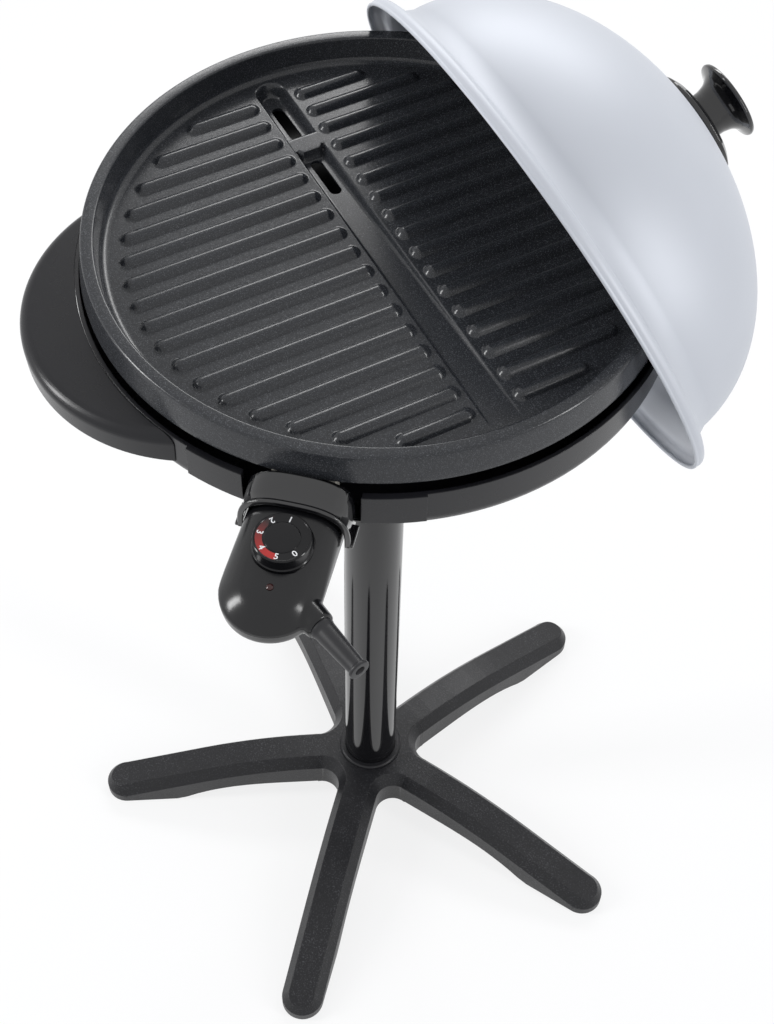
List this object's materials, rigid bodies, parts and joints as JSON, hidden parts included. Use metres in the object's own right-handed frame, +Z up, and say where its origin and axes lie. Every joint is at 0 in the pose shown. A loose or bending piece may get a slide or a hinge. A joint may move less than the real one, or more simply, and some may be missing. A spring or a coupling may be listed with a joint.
{
  "type": "electric pedestal grill with lid",
  "caption": "Round electric barbecue grill on a legged pedestal, with ribbed plate, wing handles, plug-in dial thermostat, drip tray and a domed lid hung over one handle.",
  "frame": {"origin": "on the floor, on the column's axis", "axes": "+Z up along the column, -Y towards the front, where the thermostat plugs in, +X to the right, on the hung lid's side"},
  "size_m": [0.5928, 0.6418, 1.0346],
  "materials": {
    "base_plastic": "fine-grained black",
    "pad_rubber": "matte",
    "column_enamel": "high gloss black",
    "zinc_steel": "zinc plated",
    "housing_plastic": "satin black",
    "shield_sheet": "bright rolled",
    "plate_coating": "speckled dark grey non-stick, satin",
    "element_tube": "oxidised",
    "block_ceramic": "cream ceramic",
    "pin_metal": "polished",
    "hood_plastic": "high gloss black",
    "tray_enamel": "black enamel",
    "case_plastic": "satin gloss black",
    "boot_rubber": "matte black",
    "pilot_plastic": "dark red lens",
    "dial_plastic": "gloss black with printed scale",
    "lid_lacquer": "silver-grey satin lacquer",
    "knob_plastic": "gloss black"
  },
  "bodies": {
    "stand": {"base_star": "base_plastic", "foot_pad_1": "pad_rubber", "foot_pad_2": "pad_rubber", "foot_pad_3": "pad_rubber", "foot_pad_4": "pad_rubber", "foot_pad_5": "pad_rubber", "column_tube": "column_enamel", "column_collar": "base_plastic", "base_bolt": "zinc_steel"},
    "grill": {"grill_housing": "housing_plastic", "handle_left": "housing_plastic", "handle_right": "housing_plastic", "column_socket": "housing_plastic", "housing_posts": "housing_plastic", "tray_guides": "housing_plastic", "housing_screws": "zinc_steel", "heat_shield": "shield_sheet", "grill_plate": "plate_coating", "heating_element": "element_tube", "element_clips": "zinc_steel", "terminal_block": "block_ceramic", "terminal_pins": "pin_metal", "control_hood": "hood_plastic"},
    "tray": {"drip_tray": "tray_enamel"},
    "thermostat": {"thermostat_top": "case_plastic", "thermostat_base": "case_plastic", "case_screws": "zinc_steel", "sensing_rod": "pin_metal", "cord_boot": "boot_rubber", "pilot_lens": "pilot_plastic"},
    "dial": {"dial_knob": "dial_plastic", "dial_cap": "dial_plastic"},
    "lid": {"lid_dome": "lid_lacquer", "knob_shield": "knob_plastic", "lid_knob": "knob_plastic", "lid_screw": "zinc_steel", "lid_hanger": "zinc_steel"}
  },
  "joints": [
    {"name": "grill_lift", "type": "slide", "parent": "stand", "child": "grill", "axis": [0, 0, 1], "range_m": [0, 0.05]},
    {"name": "tray_slide", "type": "slide", "parent": "grill", "child": "tray", "axis": [-0.6561, 0.7547, 0], "range_m": [0, 0.16]},
    {"name": "thermostat_pull", "type": "slide", "parent": "grill", "child": "thermostat", "axis": [0, -1, 0], "range_m": [0, 0.05]},
    {"name": "dial_turn", "type": "hinge", "parent": "thermostat", "child": "dial", "pos_m": [0, -0.279, 0.87], "axis": [0, 0, 1], "range_deg": [0, 310]},
    {"name": "lid_lift", "type": "slide", "parent": "grill", "child": "lid", "axis": [0, 0, 1], "range_m": [0, 0.12]}
  ]
}
